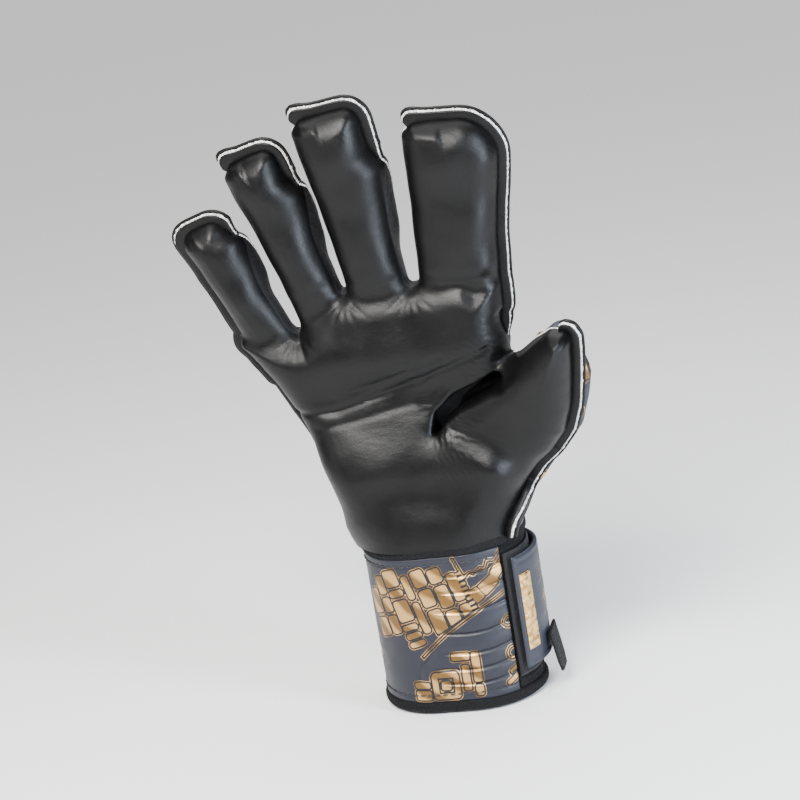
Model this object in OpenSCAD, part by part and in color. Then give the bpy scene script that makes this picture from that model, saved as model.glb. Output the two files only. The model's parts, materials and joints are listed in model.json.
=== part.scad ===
// Right-hand goalkeeper glove, built as its separate sewn pieces.
// Frame: origin at the centre of the cuff's hem, +Z towards the fingertips,
// palm facing -Y, thumb towards +X. All sizes are in millimetres.

/* [Cuff] */
// Outer width of the cuff, across the wrist
cuff_w = 78; // [70:1:84]
// Outer depth of the cuff, palm side to back
cuff_d = 60; // [54:1:64]
// Height of the cuff, hem to wrist seam
cuff_h = 84; // [78:1:90]
// Thickness of the padded cuff panel
cuff_t = 3.5; // [3:0.1:4]
// Height of the elastic binding at each end of the cuff
binding_h = 6; // [4:0.5:8]

/* [Strap] */
// Width of the closing strap, along the forearm
strap_h = 56; // [44:1:60]
// Height of the strap's lower edge above the hem
strap_z = 16; // [12:1:18]
// Thickness of the strap
strap_t = 2.5; // [2:0.1:3.5]
// Length of the pull tab
tab_len = 22; // [14:1:26]

/* [Hand] */
// Thickness of the hand part, palm face to back face
hand_t = 36; // [34:1:40]
// Thickness of the palm latex
latex_t = 4; // [3:0.1:4]
// Thickness of the backhand panel
back_t = 3.5; // [3:0.1:3.5]
// Height of the wrist crease above the cuff
wrist_gap = 12; // [12:1:14]

/* [Fingers] */
// Knuckle position across the hand: pinky, ring, middle, index
finger_x = [-72.8, -43.7, -12.1, 29.5]; // [-80:0.1:40]
// Knuckle height above the hem: pinky, ring, middle, index
finger_z = [200, 215, 216, 216]; // [196:1:218]
// Spread angle from +Z towards +X: pinky, ring, middle, index
finger_splay = [-22, -15.5, -7, 4]; // [-23:0.5:6]
// Length from the knuckle to the middle joint
finger_base_len = [22, 26, 28, 27]; // [20:1:30]
// Length from the middle joint to the tip
finger_tip_len = [26.5, 38.5, 49, 38.5]; // [24:0.5:50]
// Width of each finger at its root
finger_base_w = [28, 25, 29, 39]; // [24:1:40]
// Width of each finger near its tip
finger_tip_w = [27, 24, 32, 40]; // [24:1:42]
// Thickness of each finger, palm face to back face
finger_t = [25, 27, 28, 28]; // [24:1:30]

/* [Thumb] */
// Position of the thumb's root joint across the hand
thumb_x = 31.3; // [30:0.1:32]
// Height of the thumb's root joint above the hem
thumb_z = 116.8; // [116:0.1:118]
// Spread angle of the thumb from +Z towards +X
thumb_splay = 38; // [36:1:40]
// Length from the thumb's root joint to its middle joint
thumb_base_len = 26; // [25:1:28]
// Length from the thumb's middle joint to its tip
thumb_tip_len = 52; // [44:1:54]

/* [Seams] */
// How far the sewn edge stands out around each finger
flange = 3; // [2:0.1:3.5]
// Thickness of the white foam layer in the seam
foam_t = 1.4; // [1:0.1:2]

/* [Hidden] */

$fn = 64;
FINGERS = ["pinky", "ring", "middle", "index"];

latex_black = [0.03, 0.03, 0.035];
panel_blue = [0.09, 0.1, 0.14];
elastic_black = [0.05, 0.05, 0.06];
foam_white = [0.86, 0.85, 0.83];
print_gold = [0.66, 0.46, 0.2];
lining_grey = [0.12, 0.12, 0.13];

far = 200;            // longer than the glove in any direction it is used
gusset_t = 2.5;       // side wall thickness
lining_t = 1;
face_y = -15;         // palm face of the fingers
hinge_in = 7;         // finger hinges sit this far behind the palm face
hinge_y = face_y + hinge_in;
joint_gap = 0.5;      // half the gap between two segments, at the hinge
knuckle_half = 33.5;  // half of the opening left in front of a knuckle, degrees
middle_half = 42;     // the same at a middle joint
back_half = 6;        // half of the opening left behind a joint
base_tilt = 5;        // rest curl of the finger's base segment
tip_tilt = 8;         // further rest curl of the finger's tip segment
thumb_t = 30;
thumb_face_y = -20;
thumb_tilt = 8;
thumb_base_w = 50;
thumb_mid_w = 45;
thumb_end_w = 23;
thumb_corner = 11;
heel_gap = 7;         // palm edge to the thumb's root hinge line

patch_t = 1.2;
strap_clear = 0.3;
strap_off = 2 * patch_t + strap_clear;
anchor_start = 150;   // cap angles, in degrees, where the strap's parts begin and end
anchor_end = 135;
band_start = 133;
band_end = 69;
end_start = 66;
end_stop = -40;
cap_x = (cuff_w - cuff_d) / 2;

// ---- plan outlines of the cuff ----

// Oval of the given width and depth, with round ends
module oval(off) {
    translate([cap_x, 0]) circle(d = cuff_d + 2 * off);
    translate([-cap_x, 0]) circle(d = cuff_d + 2 * off);
    square([2 * cap_x, cuff_d + 2 * off], center = true);
}

// Closed ring between two offsets of the cuff's outer oval
module ring(inner, outer, z0, z1) {
    translate([0, 0, z0]) linear_extrude(z1 - z0) difference() {
        oval(outer);
        oval(inner);
    }
}

function ray(cx, angle) = [cx + far * cos(angle), far * sin(angle)];

// Prism over a plan polygon, used to cut a ring to length
module plan(points) {
    translate([0, 0, -1]) linear_extrude(cuff_h + 2) polygon(points);
}

// Region from the pinky side, round the palm side, to the front of the thumb side
module panel_region() {
    plan([[-cap_x, 0], ray(-cap_x, 150), [-far, 0], [-far, -far], ray(cap_x, -45), [cap_x, 0]]);
}

module elastic_region() {
    plan([[-cap_x, 0], [cap_x, 0], ray(cap_x, -45), [far, -far], [far, far], [-far, far], ray(-cap_x, 150)]);
}

// Region on the right-hand cap between two cap angles
module right_cap_region(a0, a1) {
    plan(concat([[cap_x, 0]], [for (i = [0:4]) ray(cap_x, a0 + (a1 - a0) * i / 4)]));
}

// ---- cuff ----

module cuff_panel() {
    color(panel_blue) intersection() {
        ring(-cuff_t, 0, binding_h, cuff_h - binding_h);
        panel_region();
    }
}

module cuff_elastic() {
    color(elastic_black) intersection() {
        ring(-cuff_t, 0, binding_h, cuff_h - binding_h);
        elastic_region();
    }
}

module cuff_lining() {
    color(lining_grey) ring(-cuff_t - lining_t, -cuff_t, 1, cuff_h - 1);
}

module cuff_top_binding() {
    color(elastic_black) ring(-cuff_t, 0.8, cuff_h - binding_h, cuff_h);
}

module cuff_hem_binding() {
    color(elastic_black) ring(-cuff_t, 0.8, 0, binding_h);
}

module loop_patch() {
    color(elastic_black) intersection() {
        ring(0, patch_t, strap_z - 4, strap_z + strap_h + 2);
        right_cap_region(-44, 62);
    }
}

module strap_anchor() {
    color(panel_blue) intersection() {
        ring(0, strap_off + strap_t, strap_z, strap_z + strap_h);
        plan([[-cap_x, 0], ray(-cap_x, anchor_end), ray(-cap_x, (anchor_start + anchor_end) / 2),
            ray(-cap_x, anchor_start)]);
    }
}

// ---- strap ----

module strap_ring(inner, outer, z0, z1) {
    ring(strap_off + inner, strap_off + outer, z0, z1);
}

module strap_band() {
    color(panel_blue) intersection() {
        strap_ring(0, strap_t, strap_z, strap_z + strap_h);
        plan([[-cap_x, 0], ray(-cap_x, band_start), [-cap_x, far], [cap_x, far],
            ray(cap_x, band_end), [cap_x, 0]]);
    }
}

module strap_end() {
    color(panel_blue) intersection() {
        strap_ring(0, strap_t, strap_z, strap_z + strap_h);
        right_cap_region(end_start, end_stop);
    }
}

module strap_badge() {
    color(print_gold) intersection() {
        strap_ring(strap_t, strap_t + 1, strap_z + 9, strap_z + strap_h - 9);
        right_cap_region(-20, end_stop + 3);
    }
}

module hook_patch() {
    color(elastic_black) intersection() {
        strap_ring(-patch_t, 0, strap_z + 4, strap_z + strap_h - 4);
        right_cap_region(50, end_stop + 2);
    }
}

tab_w = 18;
tab_t = 2;
tab_lean = 18;        // rest lean of the pull tab away from the cuff
tab_x = cap_x + cuff_d / 2 + strap_off + strap_t + tab_t / 2 + 0.3;
tab_z = strap_z + 12;

module pull_tab() {
    color(elastic_black)
    translate([tab_x, 0, tab_z]) rotate([0, -tab_lean, 0]) translate([0, tab_w / 2, 0]) rotate([90, 0, 0])
    linear_extrude(tab_w) union() {
        circle(d = tab_t);
        translate([-tab_t / 2, -tab_len]) square([tab_t, tab_len]);
        translate([0, -tab_len]) circle(d = tab_t);
    }
}

// ---- hand ----

hand_z = cuff_h + wrist_gap;

// Point on the palm's edge beside the thumb's root hinge, p along the hinge line
function heel_point(p) = [
    thumb_x + p * cos(thumb_splay) - heel_gap * sin(thumb_splay),
    thumb_z - p * sin(thumb_splay) - heel_gap * cos(thumb_splay)];

heel_end = (thumb_z - heel_gap * cos(thumb_splay) - hand_z) / sin(thumb_splay);
hand_face = -hand_t / 2;
hand_back = hand_t / 2;

// Corners of the palm in the X-Z plane, from the pinky side of the wrist upwards and round
outer_edge = [[-44, hand_z], [-56.5, 137], [-68.7, 163], [-84, 188]];
knuckle_edge = [[-52, 187], [-26, 202], [5.5, 202], [49.5, 202]];
thumb_edge = [[34, 171], [4, 142], heel_point(-36), heel_point(heel_end)];
palm_outline = concat(outer_edge, knuckle_edge, thumb_edge);

// Sheet between y0 and y1 over a polygon in the X-Z plane
module sheet(points, y0, y1) {
    translate([0, y1, 0]) rotate([90, 0, 0]) linear_extrude(y1 - y0) polygon(points);
}

// Strip on one side of an open line of points
module strip(line, shift, y0, y1) {
    sheet(concat(line, [for (i = [len(line) - 1:-1:0]) line[i] + shift]), y0, y1);
}

stub_taper = 12;      // how much narrower a finger root is where it is rooted in the palm

// Sheet of the palm's outline with the four finger roots, which end clear of the knuckle hinges
module hand_sheet(y0, y1, drop) {
    translate([0, y1, 0]) rotate([90, 0, 0]) linear_extrude(y1 - y0) union() {
        polygon(palm_outline);
        for (i = [0:3]) intersection() {
            translate([finger_x[i], finger_z[i]]) rotate(-finger_splay[i])
                polygon(tapered(finger_base_w[i] - stub_taper, finger_base_w[i], -30, 10, 0, 0));
            translate([-far, 0]) square([2 * far, finger_z[i] - drop]);
        }
    }
}

module palm_latex() {
    drop = joint_gap + (hinge_y - hand_face) * tan(knuckle_half);
    color(latex_black) hand_sheet(hand_face, hand_face + latex_t, drop);
}

module backhand_panel() {
    drop = joint_gap + (hand_back - hinge_y) * tan(back_half);
    color(panel_blue) hand_sheet(hand_back - back_t, hand_back, drop);
}

lining_outline = [[-36, hand_z + 2], [-50, 137], [-63, 163], [-73, 180], [-52, 180], [-26, 196],
    [5.5, 196], [42, 196], [27, 173], [-3, 146], [-9, 134], [26, hand_z + 2]];

module palm_lining() {
    y0 = hand_face + latex_t;
    color(lining_grey) sheet(lining_outline, y0, y0 + lining_t);
}

module backhand_lining() {
    y1 = hand_back - back_t;
    color(lining_grey) sheet(lining_outline, y1 - lining_t, y1);
}

wall_y0 = hand_face + latex_t;
wall_y1 = hand_back - back_t;

module pinky_side_wall() {
    color(latex_black) strip(outer_edge, [3, 0], wall_y0, wall_y1);
}

module index_side_wall() {
    color(latex_black) strip([knuckle_edge[3], thumb_edge[0]], [-3, 0], wall_y0, wall_y1);
}

module thumb_web_gusset() {
    color(elastic_black) strip([[30.5, 168.2], thumb_edge[1], thumb_edge[2]], [-3, 1.5], wall_y0, wall_y1);
}

module heel_side_wall() {
    color(latex_black) strip([heel_point(heel_end), heel_point(heel_end - 24)], [-3, 0], wall_y0, wall_y1);
}

web_w = 5;

module finger_webs() {
    webs = [[-53, 184], [-26, 198], [5.5, 198]];
    color(elastic_black) for (w = webs)
        translate([w[0] - web_w / 2, wall_y0, w[1]]) cube([web_w, wall_y1 - wall_y0, 3]);
}

module hand_foam_edge() {
    color(foam_white) strip(outer_edge, [-flange, 0], -foam_t / 2, foam_t / 2);
}

// ---- fingers ----

// Finger outline in its own X-Z plane: w0 wide at the joint, w1 at z1, with round corners of radius r
function tapered(w0, w1, z0, z1, r, inset) =
    let (low = w0 / 2 - inset, high = w1 / 2 - inset, top = z1 - inset, rc = max(r - inset, 0.01))
    r == 0
    ? [[-low, z0], [low, z0], [high, z1], [-high, z1]]
    : concat([[-low, z0], [low, z0]],
        [for (a = [0:10:90]) [high - rc + rc * cos(a), top - rc + rc * sin(a)]],
        [for (a = [90:10:180]) [-high + rc + rc * cos(a), top - rc + rc * sin(a)]]);

// Prism along X over a polygon in the Y-Z plane
module side_prism(points) {
    translate([-far, 0, 0]) rotate([90, 0, 90]) linear_extrude(2 * far) polygon(points);
}

reach = 60;

// Space above one hinge and, if z1 is given, below the next
function segment_profile(half0, half1, z1) = concat(
    [[-reach / 3, joint_gap + reach / 3 * tan(half0)], [0, joint_gap],
     [reach, joint_gap + reach * tan(back_half)]],
    z1 == undef
    ? [[reach, far], [-reach / 3, far]]
    : [[reach, z1 - joint_gap - reach * tan(back_half)], [0, z1 - joint_gap],
       [-reach / 3, z1 - joint_gap - reach / 3 * tan(half1)]]);

// Places its children in the base segment's frame of finger i, hinge axis along X
module at_finger(i) {
    if (i < 4)
        translate([finger_x[i], hinge_y, finger_z[i]]) rotate([base_tilt, 0, 0]) children();
    else
        translate([thumb_x, thumb_face_y + hinge_in, thumb_z])
            rotate([0, thumb_splay, 0]) rotate([thumb_tilt, 0, 0]) children();
}

function splay(i) = i < 4 ? finger_splay[i] : 0;
function thick(i) = i < 4 ? finger_t[i] : thumb_t;
function base_len(i) = i < 4 ? finger_base_len[i] : thumb_base_len;
function tip_len(i) = i < 4 ? finger_tip_len[i] : thumb_tip_len;
function base_w(i) = i < 4 ? finger_base_w[i] : thumb_base_w;
function mid_w(i) = i < 4 ? (finger_base_w[i] + finger_tip_w[i]) / 2 : thumb_mid_w;
function tip_w(i) = i < 4 ? finger_tip_w[i] : thumb_end_w;
function corner(i) = i < 4 ? 0.36 * finger_tip_w[i] : thumb_corner;
function seam_y(i) = thick(i) / 2 - hinge_in;

// Slab of the base segment between y0 and y1, narrowed by inset on each side
module base_slab(i, y0, y1, inset) {
    rotate([0, splay(i), 0])
        sheet(tapered(base_w(i), mid_w(i), -15, base_len(i) + 15, 0, inset), y0, y1);
}

module base_cut(i) {
    intersection() {
        children();
        side_prism(segment_profile(knuckle_half, middle_half, base_len(i)));
    }
}

// Places its children in the tip segment's frame
module at_tip(i) {
    at_finger(i) translate([base_len(i) * tan(splay(i)), 0, base_len(i)])
        rotate([tip_tilt, 0, 0]) children();
}

module tip_slab(i, y0, y1, inset) {
    rotate([0, splay(i), 0])
        sheet(tapered(mid_w(i), tip_w(i), -15, tip_len(i), corner(i), inset), y0, y1);
}

module tip_cut(i) {
    intersection() {
        children();
        side_prism(segment_profile(middle_half, 0, undef));
    }
}

module palm_base(i) {
    color(latex_black) at_finger(i) base_cut(i)
        base_slab(i, -hinge_in, -hinge_in + latex_t, 0);
}

module back_base(i) {
    y1 = thick(i) - hinge_in;
    color(panel_blue) at_finger(i) base_cut(i) base_slab(i, y1 - back_t, y1, 0);
}

module gussets(i) {
    y0 = -hinge_in + latex_t;
    y1 = thick(i) - hinge_in - back_t;
    color(elastic_black) at_finger(i) base_cut(i) difference() {
        base_slab(i, y0, y1, 0);
        base_slab(i, y0 - 1, y1 + 1, gusset_t);
    }
}

flange_t = 2.4;

module palm_tip(i) {
    seam = seam_y(i) - foam_t / 2;
    color(latex_black) at_tip(i) tip_cut(i) difference() {
        union() {
            tip_slab(i, -hinge_in, seam, 0);
            tip_slab(i, seam - flange_t, seam, -flange);
        }
        tip_slab(i, -hinge_in + latex_t, seam + 1, gusset_t);
    }
}

module back_tip(i) {
    seam = seam_y(i) + foam_t / 2;
    y1 = thick(i) - hinge_in;
    color(panel_blue) at_tip(i) tip_cut(i) difference() {
        union() {
            tip_slab(i, seam, y1, 0);
            tip_slab(i, seam, seam + flange_t, -flange);
        }
        tip_slab(i, seam - 1, y1 - back_t, gusset_t);
    }
}

module foam_edge(i) {
    y0 = seam_y(i) - foam_t / 2;
    y1 = seam_y(i) + foam_t / 2;
    color(foam_white) at_tip(i) tip_cut(i) difference() {
        tip_slab(i, y0, y1, -flange - 0.4);
        tip_slab(i, y0 - 1, y1 + 1, gusset_t);
    }
}

// ---- the pieces ----

cuff_panel();
cuff_elastic();
cuff_lining();
cuff_top_binding();
cuff_hem_binding();
loop_patch();
strap_anchor();
strap_band();
strap_end();
strap_badge();
hook_patch();
pull_tab();
palm_latex();
backhand_panel();
palm_lining();
backhand_lining();
pinky_side_wall();
index_side_wall();
thumb_web_gusset();
heel_side_wall();
finger_webs();
hand_foam_edge();

DIGITS = concat(FINGERS, ["thumb"]);
for (i = [0:4]) {
    palm_base(i);
    back_base(i);
    gussets(i);
    palm_tip(i);
    back_tip(i);
    foam_edge(i);
}
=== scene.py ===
"""Right-hand goalkeeper glove: latex skin, sewn edges, cuff, strap and studio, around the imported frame.

Lengths inside this script are millimetres in the frame's axes: +Z to the fingertips, the palm faces -Y,
the thumb is on the +X side. The hand part is first shaped flat, with every digit straight in the X-Z
plane, then cut into its sewn pieces, and then curled to the frame's rest pose.
"""

import json
import math

import bpy
import numpy as np
from mathutils import Matrix, Vector


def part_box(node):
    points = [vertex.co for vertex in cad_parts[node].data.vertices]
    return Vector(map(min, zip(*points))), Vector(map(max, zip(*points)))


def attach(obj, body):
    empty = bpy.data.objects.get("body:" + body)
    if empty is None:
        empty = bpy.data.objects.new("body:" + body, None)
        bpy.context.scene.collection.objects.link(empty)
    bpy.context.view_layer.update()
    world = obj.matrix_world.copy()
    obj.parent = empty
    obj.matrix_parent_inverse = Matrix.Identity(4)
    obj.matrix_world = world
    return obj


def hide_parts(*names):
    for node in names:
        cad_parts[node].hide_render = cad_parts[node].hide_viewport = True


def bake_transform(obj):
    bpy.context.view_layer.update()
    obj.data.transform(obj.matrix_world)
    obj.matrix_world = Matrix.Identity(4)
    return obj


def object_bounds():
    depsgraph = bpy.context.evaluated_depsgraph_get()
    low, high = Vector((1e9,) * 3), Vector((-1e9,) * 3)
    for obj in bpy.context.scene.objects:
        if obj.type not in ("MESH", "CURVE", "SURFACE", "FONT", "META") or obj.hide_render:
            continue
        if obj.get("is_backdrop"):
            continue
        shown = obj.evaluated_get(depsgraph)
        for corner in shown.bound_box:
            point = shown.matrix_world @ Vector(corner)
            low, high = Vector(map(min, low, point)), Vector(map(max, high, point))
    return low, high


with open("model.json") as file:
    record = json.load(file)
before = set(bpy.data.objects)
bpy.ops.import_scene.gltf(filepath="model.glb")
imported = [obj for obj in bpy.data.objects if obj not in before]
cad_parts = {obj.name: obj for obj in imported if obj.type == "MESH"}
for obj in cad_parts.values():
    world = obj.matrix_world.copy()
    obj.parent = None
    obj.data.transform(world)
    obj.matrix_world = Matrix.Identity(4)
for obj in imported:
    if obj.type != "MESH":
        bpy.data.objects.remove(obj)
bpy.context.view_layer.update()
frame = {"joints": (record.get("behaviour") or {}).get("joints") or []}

MM = 0.001
JOINTS = {joint["name"]: joint for joint in frame["joints"]}


# ---- small maths

def smooth(value, low, high):
    """Smooth step from 0 at low to 1 at high."""
    t = np.clip((value - low) / (high - low), 0, 1)
    return t * t * (3 - 2 * t)


def fall(value, low, high):
    """Smooth step from 1 at low to 0 at high."""
    return 1 - smooth(value, low, high)


def bell(value, width):
    """Soft bump of height 1 round zero."""
    return np.exp(-((value / width) ** 2))


def soft_min(a, b, k):
    """Minimum of two fields with a fillet of size k."""
    h = np.clip(0.5 + 0.5 * (b - a) / k, 0, 1)
    return b + (a - b) * h - k * h * (1 - h)


def soft_max(a, b, k):
    return -soft_min(-a, -b, k)


def hill(x, z, cx, cz, rx, rz):
    """Soft hill of height 1 at (cx, cz)."""
    return bell(x - cx, rx) * bell(z - cz, rz)


def line_distance(x, z, points):
    """Distance to an open line of points."""
    nearest = 1e9
    for (ax, az), (bx, bz) in zip(points, points[1:]):
        ex, ez = bx - ax, bz - az
        t = np.clip(((x - ax) * ex + (z - az) * ez) / (ex * ex + ez * ez), 0, 1)
        nearest = np.minimum(nearest, np.hypot(x - ax - t * ex, z - az - t * ez))
    return nearest


def polygon_distance(x, z, points):
    """Signed distance to a polygon, negative inside."""
    nearest = line_distance(x, z, points + points[:1])
    inside = np.zeros(nearest.shape, bool)
    for (ax, az), (bx, bz) in zip(points, points[1:] + points[:1]):
        if az != bz:
            inside ^= ((az > z) != (bz > z)) & (x < ax + (z - az) / (bz - az) * (bx - ax))
    return np.where(inside, -nearest, nearest)


def rounded(a, b, radius):
    """Distance to a shape with a round corner, from the distances past its two sides."""
    a, b = a + radius, b + radius
    return np.minimum(np.maximum(a, b), 0) + np.hypot(np.maximum(a, 0), np.maximum(b, 0)) - radius


def unit(v):
    """A vector, or each row of an array, at length 1."""
    return v / np.maximum(np.linalg.norm(v, axis=-1, keepdims=True), 1e-9)


def turn(points, pivot, axis, angle):
    """Points turned by angle (one value per point) about an axis through pivot."""
    p = points - pivot
    c, s = np.cos(angle)[:, None], np.sin(angle)[:, None]
    along = (p @ axis)[:, None] * axis
    return pivot + p * c + np.cross(axis, p) * s + along * (1 - c)


# ---- the digits, from the frame's joints

TIP_CURL = math.radians(8)
FLANGE = 4.6  # the sewn edge stands out this far from the padded body
GUSSET_HALF = 7.0  # half of a gusset's width at its widest

# distances from the middle line to the left and right edges at the root and near the tip, length beyond the
# middle joint, thickness, radii of the left and right tip corners, and whether the left and right sides end
# in a sewn edge rather than a gusset; the right side's sewn edge runs down to the share edge_to of the length
SHAPES = {
    "pinky": dict(root=(14, 13), wide=(15, 16), tip=27.5, thick=25, r=(11, 10), seam=(1, 0), edge_to=0.68),
    "ring": dict(root=(12.5, 12.5), wide=(14, 17.5), tip=39, thick=27, r=(5, 10), seam=(0, 0), edge_to=0.6),
    "middle": dict(root=(14.5, 14.5), wide=(16, 21), tip=50.5, thick=28, r=(5, 11), seam=(0, 0), edge_to=0.6),
    "index": dict(root=(19.5, 23), wide=(20, 28), tip=40.5, thick=28, r=(6, 22), seam=(0, 1), edge_to=0.6),
    "thumb": dict(tip=57, thick=30, seam=(0, 1), edge_to=0.6),  # its outline is THUMB_OUTLINE
}
FINGERS = ["pinky", "ring", "middle", "index"]
# rest bends: where each joint's bend starts and ends along the digit, from the joint
ROOT_BEND = {"pinky": (-8, 11.5), "thumb": (0, 19.5)}
MIDDLE_BEND = {"pinky": (-9, 10), "thumb": (-4.5, 15)}
SPLIT = {"pinky": 12.5, "thumb": 21}  # where the tip's pieces start, from the root joint
ROOT_CUT = -11  # a finger's pieces start this far from its root joint
BURIED = {"pinky": -20, "thumb": -30}  # the digit's own shape starts this far from it, inside the palm

# the thumb's outline across and along from its root joint, before it is rounded
THUMB_ROUND = 4.0
THUMB_OUTLINE = [(-20, -16), (-26, 2), (-14, 40), (-3.5, 77.5), (1.5, 76), (12, 58), (18.5, 44),
                 (22, 32), (21.5, 20), (17, 0), (15, -16)]
# the middle and half thickness of the web in the slit beside the thumb, the slit's line, and the whole
# thumb side of the glove beyond it
WEB_Y, WEB_HALF = 0.5, 4.5
DART = [(8.0, 135.5), (11.5, 142.0), (20.0, 148.5), (31.0, 153.0), (40.0, 157.0)]
THUMB_SIDE = DART + [(47.0, 162.0), (75.0, 200.0), (130.0, 260.0), (130.0, 40.0)]


class Digit:
    """One finger or the thumb: its two joints and its straight, flat shape."""

    def __init__(self, name):
        first = JOINTS["thumb_root" if name == "thumb" else name + "_knuckle"]
        second = JOINTS[name + "_middle_joint"]
        self.name = name
        self.root = np.array(first["pos_m"]) / MM
        self.axis = unit(np.array(first["axis"], float))
        self.along = np.array([-self.axis[2], 0, self.axis[0]])
        step = np.array(second["pos_m"]) / MM - self.root
        forward = step @ self.along
        self.root_curl = math.atan2(-step[1], forward)
        self.base = math.hypot(forward, step[1])
        self.mid = self.root + self.axis * (step @ self.axis) + self.along * self.base
        self.mid_rest = self.root + step
        self.bone = unit(self.mid - self.root)
        self.across = np.array([self.bone[2], 0, -self.bone[0]])
        self.shape = SHAPES[name]
        self.length = np.linalg.norm(self.mid - self.root) + self.shape["tip"]
        self.half = self.shape["thick"] / 2
        self.centre_y = self.half - (20 if name == "thumb" else 15)
        self.root_bend = ROOT_BEND.get(name, (-9, 13))
        self.middle_bend = MIDDLE_BEND.get(name, (-9, 11))
        self.split = SPLIT.get(name, 14)

    def reach(self, x, z):
        """Distance past the root joint, square to its axis."""
        return (x - self.root[0]) * self.along[0] + (z - self.root[2]) * self.along[2]

    def local(self, x, z):
        """Across and along the digit, from its root joint."""
        dx, dz = x - self.root[0], z - self.root[2]
        return dx * self.across[0] + dz * self.across[2], dx * self.bone[0] + dz * self.bone[2]

    def side(self, u, key):
        """The left or the right value of a shape entry."""
        left, right = self.shape[key]
        return left + (right - left) * smooth(u, -3, 3)

    def outline(self, x, z):
        """Signed distance to the digit's flat outline."""
        u, v = self.local(x, z)
        if self.name == "thumb":
            return polygon_distance(u, v, THUMB_OUTLINE) - THUMB_ROUND
        radius, root = self.side(u, "r"), self.side(u, "root")
        half = root + (self.side(u, "wide") - root) * smooth(v, 0, self.length * 0.8)
        across, end = np.abs(u) - half + radius, v - self.length + 2.0 * (u / half) ** 2 + radius
        inner = np.maximum(across, end)  # inside, the corners of the distance lines grow rounder with depth
        inner = np.minimum(soft_max(across, end, np.clip(-1.5 * inner, 0.05, 14)), 0) * (inner < 0)
        return inner + np.hypot(np.maximum(across, 0), np.maximum(end, 0)) - radius

    def gusset(self, x, z):
        """Half width of the gusset on the digit's side walls: 0 where the sewn edge runs."""
        u, v = self.local(x, z)
        right = smooth(u, -3, 3)
        end = self.length * (1 + (self.shape["edge_to"] - 1) * right) - 6 * (1 - right)
        wide = GUSSET_HALF * (1 - self.side(u, "seam")) * fall(v, end - 24, end + 3)
        return wide * smooth(v, -34, -22) * fall(self.outline(x, z), 6, 12)

    def edge_share(self, x, z):
        """1 where the sewn edge stands out at its full width, 0 where there is none."""
        u, v = self.local(x, z)
        right = smooth(u, -3, 3)
        start = self.length * (1 - right + (self.shape["edge_to"] - 0.08) * right) - 11 * (1 - right)
        seam = self.side(u, "seam") * smooth(v, -46, -32)
        return np.maximum(seam, smooth(v, start, start + 6 + 5 * right)) * fall(self.outline(x, z), 8, 14)

    def ear(self, x, z):
        """The sewn edge sticks out at the tip's left corner."""
        u, v = self.local(x, z)
        return 0.8 * hill(u, v, -self.shape["wide"][0], self.length - 3, 7, 5)

    def field(self, x, y, z, seam_y):
        """Signed distance to the padded digit inside its sewn edge."""
        u, v = self.local(x, z)
        edge = self.outline(x, z) + FLANGE * self.edge_share(x, z)
        crown = 1.8 * bell(u, 11) - 0.7 * bell(v - 0.55 * self.length, 9)
        half = self.half + crown * smooth(v, -10, 8)
        if self.name == "thumb":  # its root sinks under the palm, and its back shows past the sewn edge
            half = half - 6 * fall(v, -24, 2)
            edge = edge - 8 * smooth(y - seam_y, 2, 10) * smooth(u, -4, 8) * fall(v, 58, 74)
        else:
            edge = edge + (5 if self.name == "index" else 2) * smooth(y - seam_y, 0, 11)
            if self.name != "index":  # the back stands out past the palm on the right, so the gusset shows
                wider = smooth(u, 0, 6) * smooth(v, 0, 14) * fall(v, 0.55 * self.length, 0.72 * self.length)
                edge = edge - 2.8 * wider * smooth(y - seam_y, -5, 5)
            half = half - 3.5 * fall(v, -20, -4) - 4.0 * smooth(v, self.length - 26, self.length)
        return rounded(edge, np.abs(y - self.centre_y) - half, np.minimum(12.0, half - 0.5))

    def curl(self, points, share=1.0):
        """Flat points bent to the rest pose."""
        reach = self.reach(points[:, 0], points[:, 2])
        past_middle = smooth(reach - self.base, *self.middle_bend)
        past_root = smooth(reach, *self.root_bend)
        points = turn(points, self.mid, self.axis, past_middle * share * TIP_CURL)
        return turn(points, self.root, self.axis, past_root * share * self.root_curl)


DIGITS = {name: Digit(name) for name in SHAPES}
THUMB = DIGITS["thumb"]


def thumb_side(x, z):
    """Distance into the thumb's side of the glove, past the slit and the thumb's root line."""
    return np.minimum(-polygon_distance(x, z, THUMB_SIDE), THUMB.reach(x, z))


def seam_height(x, z):
    """Height of the sewn edge's middle plane: 0 round the palm, each digit's own middle beyond it."""
    total, weight = 0, 0
    for digit in DIGITS.values():
        share = np.exp(-digit.outline(x, z) / 3)
        total = total + share * digit.centre_y * smooth(digit.reach(x, z), -22, 2)
        weight = weight + share
    low = smooth(x, 8, 32) * fall(z, 84, 114)  # the seam comes round to the palm at the wrist
    return total / weight - 18 * low


def gusset_width(x, z):
    """Half width of the side panels everywhere, 0 along the sewn edges: that of the nearest digit."""
    total, weight = 0, 0
    for digit in DIGITS.values():
        share = np.exp(-np.minimum(digit.outline(x, z), 60) / 1.2)
        total, weight = total + share * digit.gusset(x, z), weight + share
    return np.maximum(total / weight - 0.5, 0)


def palm_edge_share(x, z):
    """The sewn edge down the palm's outer side."""
    return 0.75 * smooth(z, 84, 104) * fall(x, -34, -22) * fall(z, 176, 192)


def edge_share(x, z):
    return np.maximum.reduce([digit.edge_share(x, z) for digit in DIGITS.values()] + [palm_edge_share(x, z)])


# ---- the palm and the whole skin

PALM_ROUND = 5.0
PALM_OUTLINE = [(-30, 60), (-31, 84), (-38.5, 94), (-43, 108), (-51.5, 137), (-64, 163), (-77, 184),
                (-60, 184), (-50, 182.5), (-30, 197.5), (-24, 198.5), (3, 198), (10, 199), (45, 199),
                (44, 180), (40, 166), (42, 152), (42, 138), (40, 114), (33, 98), (28, 90), (25, 82), (25, 60)]
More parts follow.
